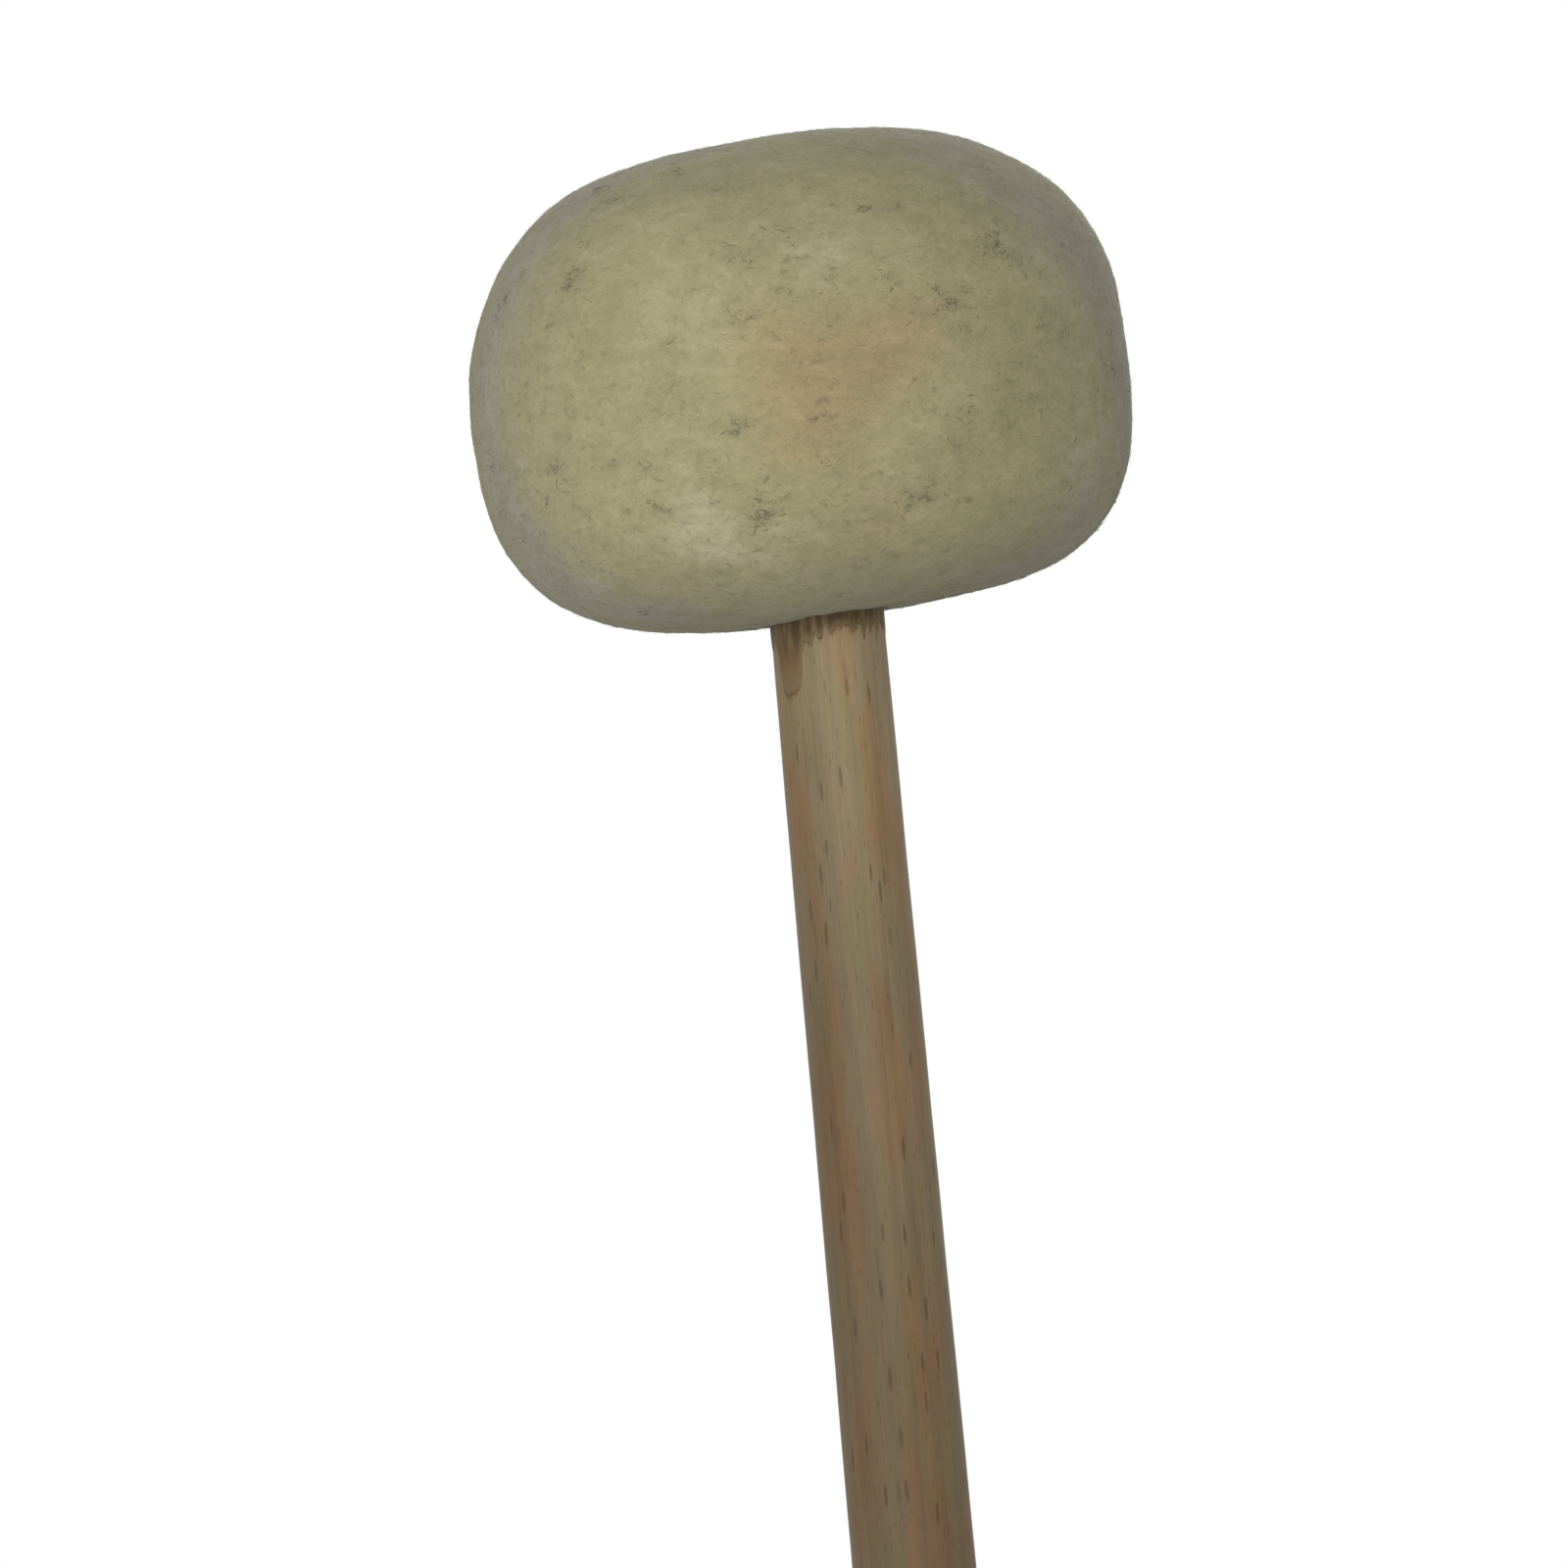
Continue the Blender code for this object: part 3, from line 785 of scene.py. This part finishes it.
    # Curls, and a hair's taper to both ends
    where = add(tree, "GeometryNodeInputPosition").outputs[0]
    curls = add(tree, "ShaderNodeTexNoise", {"Scale": 1100.0, "Detail": 1.0})
    join(where, curls.inputs["Vector"])
    centred = add(tree, "ShaderNodeVectorMath", {1: (0.5, 0.5, 0.5)}, operation="SUBTRACT")
    join(curls.outputs["Color"], centred.inputs[0])
    strong = add(tree, "ShaderNodeVectorMath", operation="SCALE")
    join(centred.outputs[0], strong.inputs[0])
    join(start.outputs["Curl"], strong.inputs["Scale"])
    curled = add(tree, "GeometryNodeSetPosition")
    join(loose.outputs["Geometry"], curled.inputs["Geometry"])
    join(strong.outputs[0], curled.inputs["Offset"])
    middle = math_node(tree, "ABSOLUTE", minus(tree, times(tree, step, 2.0), 1.0))
    thinner = minus(tree, 1.0, times(tree, math_node(tree, "POWER", middle, 3.0), 0.8))
    width = times(tree, times(tree, start.outputs["Thickness"], 0.5), thinner)
    section = add(tree, "GeometryNodeCurvePrimitiveCircle", {"Resolution": 3, "Radius": 1.0})
    skin = add(tree, "GeometryNodeCurveToMesh", {"Fill Caps": True})
    join(curled.outputs["Geometry"], skin.inputs["Curve"])
    join(section.outputs["Curve"], skin.inputs["Profile Curve"])
    join(width, skin.inputs["Scale"])
    dyed = add(tree, "GeometryNodeSetMaterial")
    join(skin.outputs["Mesh"], dyed.inputs["Geometry"])
    join(start.outputs["Wool"], dyed.inputs["Material"])
    join(dyed.outputs["Geometry"], end.inputs["Hairs"])
    return tree


def lay_wool(name, head, tree, values):
    """Grows hairs over the felt with the tree, and keeps them as a plain mesh."""
    grower = head.copy()
    bpy.context.scene.collection.objects.link(grower)
    modifier = grower.modifiers.new("hairs", "NODES")
    modifier.node_group = tree
    sockets = {item.name: item.identifier for item in tree.interface.items_tree if item.in_out == "INPUT"}
    for socket, value in values.items():
        modifier[sockets[socket]] = value
    graph = bpy.context.evaluated_depsgraph_get()
    grown = grower.evaluated_get(graph)
    mesh = bpy.data.meshes.new_from_object(grown, preserve_all_data_layers=True, depsgraph=graph)
    bpy.data.objects.remove(grower)
    mesh.name = name
    mesh.shade_smooth()
    hairs = bpy.data.objects.new(name, mesh)
    bpy.context.scene.collection.objects.link(hairs)
    return hairs


# Glue

GLUE_COLUMNS = 240
GLUE_ROWS = 14
GLUE_TOP = 0.12 * MM
GLUE_EDGE = 0.012 * MM
RUN_SIDE = math.radians(-137.0)
RUN_SPREAD = math.radians(17.0)
RUN_LENGTH = 6.4 * MM
GLUE_TUCK = 0.4 * MM  # the skin goes this far up into the felt
GLUE_STANDOFF = 0.02 * MM
GLUE_BITE = 0.04 * MM  # and its inner side this deep into the wood
# The band's shades are dark glue and painted shadow of the felt over it; the run's and the edge's are glue
BAND_AND_SHADOW_SHADES = ((0.085, 0.055, 0.025), (0.175, 0.130, 0.062))
RUN_SHADES = ((0.150, 0.086, 0.038), (0.205, 0.120, 0.054))
EDGE_SHADE = (0.200, 0.140, 0.070)
STAIN_TINT = (0.62, 0.50, 0.40)


def glue_reach(angle):
    """How far down the handle the glue comes on one side: a ragged edge, thin drips and one long run."""
    at = Vector((math.cos(angle), math.sin(angle), 0.0))
    ragged = 2.3 * MM + 1.2 * MM * noise.noise(at * 2.2 + Vector((3.0, 0.0, 0.0)))
    ragged += 1.7 * MM * noise.noise(at * 9.0) + 0.9 * MM * noise.noise(at * 21.0)
    off = math.remainder(angle - RUN_SIDE, math.tau) / RUN_SPREAD
    run = math.exp(-(off ** 6))
    return max(ragged, 0.9 * MM) * (1 - 0.6 * run) + (RUN_LENGTH + 1.2 * MM) * run


# Handle

def taper(height):
    """The handle's radius: it narrows from the butt to the neck, and runs straight inside the head."""
    share = np.clip(np.asarray(height) / HANDLE_REACH, 0.0, 1.0)
    return BUTT_RADIUS + (NECK_RADIUS - BUTT_RADIUS) * share


def make_handle():
    """The turned handle: rounded butt, slight waves of the turner's hand, and the spigot in the core."""
    shoulder = lower_high.z
    # Each ring: its radius, its height, and how much of the turner's unevenness it takes
    rings = []
    corner = float(taper(BUTT_ROUNDING)) - BUTT_ROUNDING
    for step in range(BUTT_STEPS + 1):
        angle = math.radians(-90 + 90 * step / BUTT_STEPS)
        out, along = BUTT_ROUNDING * math.cos(angle), BUTT_ROUNDING * math.sin(angle)
        rings.append((corner + out, BUTT_ROUNDING + along, 0.3))
    heights = np.arange(BUTT_ROUNDING + HANDLE_ROW, HANDLE_REACH - STAIN_REACH, HANDLE_ROW).tolist()
    heights += np.arange(heights[-1] + STAIN_ROW, HANDLE_REACH + 2 * MM, STAIN_ROW).tolist()
    heights += np.arange(heights[-1] + HANDLE_ROW, shoulder - 0.3 * HANDLE_ROW, HANDLE_ROW).tolist()
    rings += [(float(taper(height)), float(height), 1.0) for height in heights]
    top = handle_high.z
    rings += [
        (NECK_RADIUS, shoulder, 0.0),
        (SPIGOT_RADIUS, shoulder, 0.0),
        (SPIGOT_RADIUS, top - SPIGOT_CHAMFER, 0.0),
        (SPIGOT_RADIUS - SPIGOT_CHAMFER, top, 0.0),
        (PILOT_RADIUS, top, 0.0),
        (PILOT_RADIUS, top - PILOT_DEPTH, 0.0),
    ]
    built = []
    for radius, height, hand in rings:
        ring = circle(radius, height, HANDLE_COLUMNS)
        for point in ring:
            at = Vector(point) / MM
            wave = noise.noise(Vector((at.x * 0.05, at.y * 0.05, at.z * 0.045)))
            dent = noise.noise(Vector((at.x * 0.25 + 4.0, at.y * 0.25 + 1.0, at.z * 0.10 + 2.0)))
            point[:2] *= 1 + hand * (TURNER_WAVE * wave + TURNER_DENT * dent) / radius
        built.append(ring)
    pilot_end = (0.0, 0.0, top - PILOT_DEPTH - PILOT_POINT)
    handle = rings_mesh("turned_handle", built, foot=(0.0, 0.0, 0.0), crown=pilot_end)
    handle.data.set_sharp_from_angle(angle=math.radians(50))
    stain = np.zeros(len(handle.data.vertices))
    for index, vertex in enumerate(handle.data.vertices):
        x, y, z = vertex.co
        if z < HANDLE_REACH - STAIN_REACH:
            continue
        angle = math.atan2(y, x)
        below = mouth_height(angle) - glue_reach(angle) - z
        stain[index] = 1.0 - max(0.0, min(1.0, below / STAIN_FADE))
    mark_points(handle.data, "glue_stain", stain)
    return handle


def wood_group():
    """Beech: soft long streaks, short dark rays, and a darkening that deepens towards the grip, with painted
    shade on one side.
    """
    group, start, end = start_group(
        "long_grain_wood",
        [
            ("Light", "NodeSocketColor", (0.4, 0.3, 0.2, 1.0)),
            ("Deep", "NodeSocketColor", (0.2, 0.1, 0.05, 1.0)),
            ("Ray", "NodeSocketColor", (0.1, 0.06, 0.03, 1.0)),
            ("Warm", "NodeSocketColor", (1.0, 0.9, 0.8, 1.0)),
            ("Olive", "NodeSocketColor", (0.95, 1.0, 0.9, 1.0)),
            ("Darkening and Side Shade", "NodeSocketFloat", 0.0),
        ],
        [("Color", "NodeSocketColor"), ("Height", "NodeSocketFloat"), ("Roughness", "NodeSocketFloat")],
    )
    place = add(group, "ShaderNodeTexCoord").outputs["Object"]

    def stretched(x, y, z, shift=(0.0, 0.0, 0.0)):
        mapping = add(group, "ShaderNodeMapping", {"Scale": (x, y, z), "Location": shift})
        group.links.new(place, mapping.inputs["Vector"])
        return mapping.outputs["Vector"]

    streak = noise_node(group, stretched(700.0, 700.0, 26.0), 1.0, 4.0, 0.6, 0.2)
    wide = noise_node(group, stretched(250.0, 250.0, 55.0), 1.0, 3.0, 0.5, 0.3)
    olive = noise_node(group, stretched(300.0, 300.0, 48.0, (5.0, 2.0, 8.0)), 1.0, 3.0, 0.5, 0.3)
    fine = noise_node(group, stretched(3200.0, 3200.0, 110.0), 1.0, 3.0, 0.6)
    cloud = noise_node(group, place, 70.0, 3.0, 0.5)

    def rays(x, z, shift, size, rare):
        cells = add(group, "ShaderNodeTexVoronoi", {"Scale": 1.0, "Randomness": 1.0})
        group.links.new(stretched(x, x, z, shift), cells.inputs["Vector"])
        spot = spread(group, cells.outputs["Distance"], size * 0.5, size, 1.0, 0.0)
        pick = add(group, "ShaderNodeSeparateColor")
        group.links.new(cells.outputs["Color"], pick.inputs[0])
        return times(group, spot, spread(group, pick.outputs[0], rare, rare + 0.12))

    long_rays = rays(1150.0, 175.0, (3.0, 1.0, 2.0), 0.34, 0.68)
    short_rays = rays(2400.0, 520.0, (9.0, 4.0, 7.0), 0.36, 0.60)

    colour = blend_colours(group, start.outputs["Darkening and Side Shade"], start.outputs["Light"], start.outputs["Deep"])
    warm = times(group, spread(group, wide, 0.45, 0.65), 0.8)
    colour = tinted(group, warm, colour, start.outputs["Warm"])
    green = times(group, spread(group, olive, 0.5, 0.68), 0.8)
    colour = tinted(group, green, colour, start.outputs["Olive"])
    colour = shaded(group, colour, summed(group, ((streak, 0.85), (fine, 0.36), (cloud, 0.24))))
    marks = math_node(group, "MAXIMUM", times(group, long_rays, 0.8), times(group, short_rays, 0.4))
    group.links.new(tinted(group, marks, colour, start.outputs["Ray"]), end.inputs["Color"])

    height = minus(group, times(group, fine, 0.5), times(group, marks, 0.6))
    height = plus(group, height, times(group, streak, 0.6))
    group.links.new(height, end.inputs["Height"])
    rough = spread(group, streak, 0.3, 0.7, 0.5, 0.66, smooth=False)
    group.links.new(rough, end.inputs["Roughness"])
    return group


def beech_finish(wood):
    """Beech darker towards the butt, with painted shade on its left side, and brown glue soaked in just under
    the felt.
    """
    made = finish_with(
        "worn_beech",
        wood,
        {
            "Light": (0.320, 0.246, 0.140),
            "Deep": (0.148, 0.104, 0.051),
            "Ray": (0.50, 0.46, 0.38),
            "Warm": (1.12, 0.88, 0.78),
            "Olive": (0.88, 1.00, 0.84),
        },
        0.6,
        0.06 * MM,
        specular=0.3,
    )
    tree = made.node_tree
    shader = tree.nodes["Principled BSDF"]
    pattern = next(node for node in tree.nodes if node.type == "GROUP")
    place = add(tree, "ShaderNodeTexCoord").outputs["Object"]
    split = add(tree, "ShaderNodeSeparateXYZ")
    tree.links.new(place, split.inputs[0])
    # The wood is darker low down; painted shade darkens its left side, and its right side is painted lighter
    worn = spread(tree, split.outputs["Z"], HANDLE_REACH + 1 * MM, DARKEST_FROM, smooth=False)
    # Painted shade: the left side darker, the right lighter
    side = spread(tree, split.outputs["X"], NECK_RADIUS, -NECK_RADIUS, -0.14, 0.34)
    darkening_and_side_shade = plus(tree, math_node(tree, "POWER", worn, 0.6), side)
    tree.links.new(math_node(tree, "MAXIMUM", darkening_and_side_shade, 0.0), pattern.inputs["Darkening and Side Shade"])
    streaks = add(tree, "ShaderNodeMapping", {"Scale": (1300.0, 1300.0, 60.0)})
    tree.links.new(place, streaks.inputs["Vector"])
    ragged = noise_node(tree, streaks.outputs["Vector"], 1.0, 3.0)
    stain = add(tree, "ShaderNodeAttribute", attribute_name="glue_stain").outputs["Fac"]
    soaked = plus(tree, stain, times(tree, minus(tree, ragged, 0.5), 1.2))
    soaked = times(tree, times(tree, spread(tree, soaked, 0.1, 1.0), stain), 0.85)
    stained = tinted(tree, soaked, pattern.outputs["Color"], STAIN_TINT)
    tree.links.new(stained, shader.inputs["Base Color"])
    return made


def make_glue():
    """Glue squeezed out under the felt: a thin ragged skin on the wood."""
    rings = []
    for row in range(GLUE_ROWS + 1):
        share = row / GLUE_ROWS
        ring = []
        for column in range(GLUE_COLUMNS):
            angle = math.tau * column / GLUE_COLUMNS
            underside = mouth_height(angle)
            high = underside + GLUE_TUCK
            low = underside - glue_reach(angle)
            height = low + (high - low) * share
            swell = GLUE_EDGE + (GLUE_TOP - GLUE_EDGE) * share ** 0.6
            ripple = noise.noise(Vector((math.cos(angle) * 5, math.sin(angle) * 5, height / MM * 0.8)))
            radius = float(taper(height)) + GLUE_STANDOFF + swell * (1 + 0.25 * ripple)
            ring.append((radius * math.cos(angle), radius * math.sin(angle), height))
        rings.append(np.array(ring))
    inner = []
    for ring in (rings[-1], rings[0]):
        back = ring.copy()
        for point in back:
            radius = math.hypot(point[0], point[1])
            point[:2] *= (float(taper(point[2])) - GLUE_BITE) / radius
        inner.append(back)
    skin = rings_mesh("glue_skin", rings + inner + [rings[0]])
    thick = np.ones(len(skin.data.vertices))
    for row in range(GLUE_ROWS + 1):
        thick[row * GLUE_COLUMNS:(row + 1) * GLUE_COLUMNS] = row / GLUE_ROWS
    mark_points(skin.data, "from_the_edge", thick)
    shape = bmesh.new()
    shape.from_mesh(skin.data)
    bmesh.ops.remove_doubles(shape, verts=shape.verts[:], dist=0.001 * MM)
    bmesh.ops.recalc_face_normals(shape, faces=shape.faces[:])
    shape.to_mesh(skin.data)
    shape.free()
    return skin


def glue_finish():
    made = bpy.data.materials.new("brown_glue")
    made.use_nodes = True
    tree = made.node_tree
    shader = tree.nodes["Principled BSDF"]
    shader.inputs["Roughness"].default_value = 0.62
    shader.inputs["Specular IOR Level"].default_value = 0.2
    place = add(tree, "ShaderNodeTexCoord").outputs["Object"]
    mapping = add(tree, "ShaderNodeMapping", {"Scale": (1100.0, 1100.0, 150.0)})
    tree.links.new(place, mapping.inputs["Vector"])
    streak = noise_node(tree, mapping.outputs["Vector"], 1.0, 4.0, 0.6)
    split = add(tree, "ShaderNodeSeparateXYZ")
    tree.links.new(place, split.inputs[0])
    # Just under the felt the band is darkest: dark glue with painted shadow of the felt
    low = spread(tree, split.outputs["Z"], HANDLE_REACH - 6.0 * MM, HANDLE_REACH - 1.0 * MM)
    edge = add(tree, "ShaderNodeAttribute", attribute_name="from_the_edge").outputs["Fac"]
    colour = blend_colours(tree, spread(tree, streak, 0.35, 0.65), *BAND_AND_SHADOW_SHADES)
    run = blend_colours(tree, spread(tree, streak, 0.3, 0.7), *RUN_SHADES)
    colour = blend_colours(tree, low, run, colour)
    colour = blend_colours(tree, spread(tree, edge, 0.0, 0.55), EDGE_SHADE, colour)
    tree.links.new(colour, shader.inputs["Base Color"])
    relief = add(tree, "ShaderNodeBump", {"Strength": 0.6, "Distance": 0.05 * MM})
    tree.links.new(streak, relief.inputs["Height"])
    tree.links.new(relief.outputs["Normal"], shader.inputs["Normal"])
    return made


# Assembly of the visible mallet

def dress_hidden(wool, wood):
    """Finishes for the pieces inside the head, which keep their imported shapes."""
    plain_felt = finish_with(
        "undyed_felt",
        wool,
        {
            "Main": (0.55, 0.52, 0.43), "Pink": (0.55, 0.50, 0.42), "Grey": (0.45, 0.44, 0.40),
            "Pale": (0.62, 0.60, 0.52), "Dark": (0.2, 0.18, 0.14),
        },
        0.95,
        0.3 * MM,
        specular=0.2,
    )
    core_wood = finish_with(
        "turned_core",
        wood,
        {"Light": (0.55, 0.42, 0.26), "Deep": (0.4, 0.28, 0.15), "Ray": (0.6, 0.5, 0.4)},
        0.7,
        0.08 * MM,
        specular=0.3,
    )
    zinc = zinc_finish()
    finishes = {
        "head_core": core_wood,
        "lower_pad": plain_felt,
        "side_wrap": plain_felt,
        "upper_pad": plain_felt,
        "core_washer": zinc,
        "core_screw": zinc,
    }
    for node, finish in finishes.items():
        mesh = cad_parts[node].data
        mesh.materials.clear()
        mesh.materials.append(finish)


def zinc_finish():
    """Zinc plating, with the soft spangle of a hardware-shop screw."""
    made = bpy.data.materials.new("zinc_plate")
    made.use_nodes = True
    tree = made.node_tree
    shader = tree.nodes["Principled BSDF"]
    shader.inputs["Metallic"].default_value = 1.0
    place = add(tree, "ShaderNodeTexCoord").outputs["Object"]
    spangle = noise_node(tree, place, 700.0, 3.0)
    plate = blend_colours(tree, spangle, (0.52, 0.52, 0.50), (0.72, 0.72, 0.70))
    tree.links.new(plate, shader.inputs["Base Color"])
    tree.links.new(spread(tree, spangle, 0.3, 0.7, 0.25, 0.45), shader.inputs["Roughness"])
    return made


def outer_felt_finish(wool):
    masks = (
        ("Pink Patch", "pink_wool"),
        ("Grey Wool and Rim Sheen", "grey_wool_and_rim_sheen"),
        ("Pale Patch", "pale_wool"),
        ("Dark Patch", "dark_wool"),
    )
    return finish_with(
        "moulded_felt",
        wool,
        {
            "Main": (0.362, 0.332, 0.182),
            "Pink": (0.365, 0.283, 0.152),
            "Grey": (0.350, 0.325, 0.235),
            "Pale": (0.460, 0.425, 0.285),
            "Dark": (0.110, 0.100, 0.055),
        },
        0.95,
        0.22 * MM,
        masks=masks,
        specular=0.15,
        sheen=0.12,
    )


def dark_wool_finish(wool):
    shades = dict.fromkeys(("Main", "Pink", "Grey", "Pale"), (0.13, 0.12, 0.07))
    shades["Dark"] = (0.06, 0.05, 0.03)
    return finish_with("dark_wool", wool, shades, 0.9, 0.02 * MM, specular=0.15)


def settle(piece, slot, *nodes):
    """Makes a finished piece ride on the mallet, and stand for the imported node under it."""
    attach(piece, "root")
    if nodes:
        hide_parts(*nodes)


make_camera()
make_world()
make_lamps()
make_floor()
wool = wool_group()
wood = wood_group()
dress_hidden(wool, wood)

felt_head = make_felt_head()
paint_patches(felt_head)
outer_felt = outer_felt_finish(wool)
felt_head.data.materials.append(outer_felt)
nap = lay_wool(
    "felt_nap",
    felt_head,
    loose_wool_tree("nap_of_the_felt", "outside"),
    {
        "Hairs per Square Metre": 0.55e6, "Length": 1.5 * MM, "Thickness": 0.03 * MM, "Lift": 0.10,
        "Curl": 0.4 * MM, "Turn": math.radians(80.0), "Seed": FUZZ_SEED, "Wool": outer_felt,
    },
)
settle(nap, "outer_felt")
dark_hairs = lay_wool(
    "dark_wool_hairs",
    felt_head,
    loose_wool_tree("dark_hairs_in_the_felt", "dark_wool"),
    {
        "Hairs per Square Metre": 2.0e6, "Length": 1.5 * MM, "Thickness": 0.06 * MM, "Lift": 0.03,
        "Curl": 1.0 * MM, "Turn": math.radians(70.0), "Seed": FUZZ_SEED + 1, "Wool": dark_wool_finish(wool),
    },
)
settle(dark_hairs, "outer_felt")
settle(felt_head, "outer_felt", "felt_cover")

handle = make_handle()
handle.data.materials.append(beech_finish(wood))
settle(handle, "beech", "handle")

glue = make_glue()
glue.data.materials.append(glue_finish())
settle(glue, "dried_glue", "glue_collar")
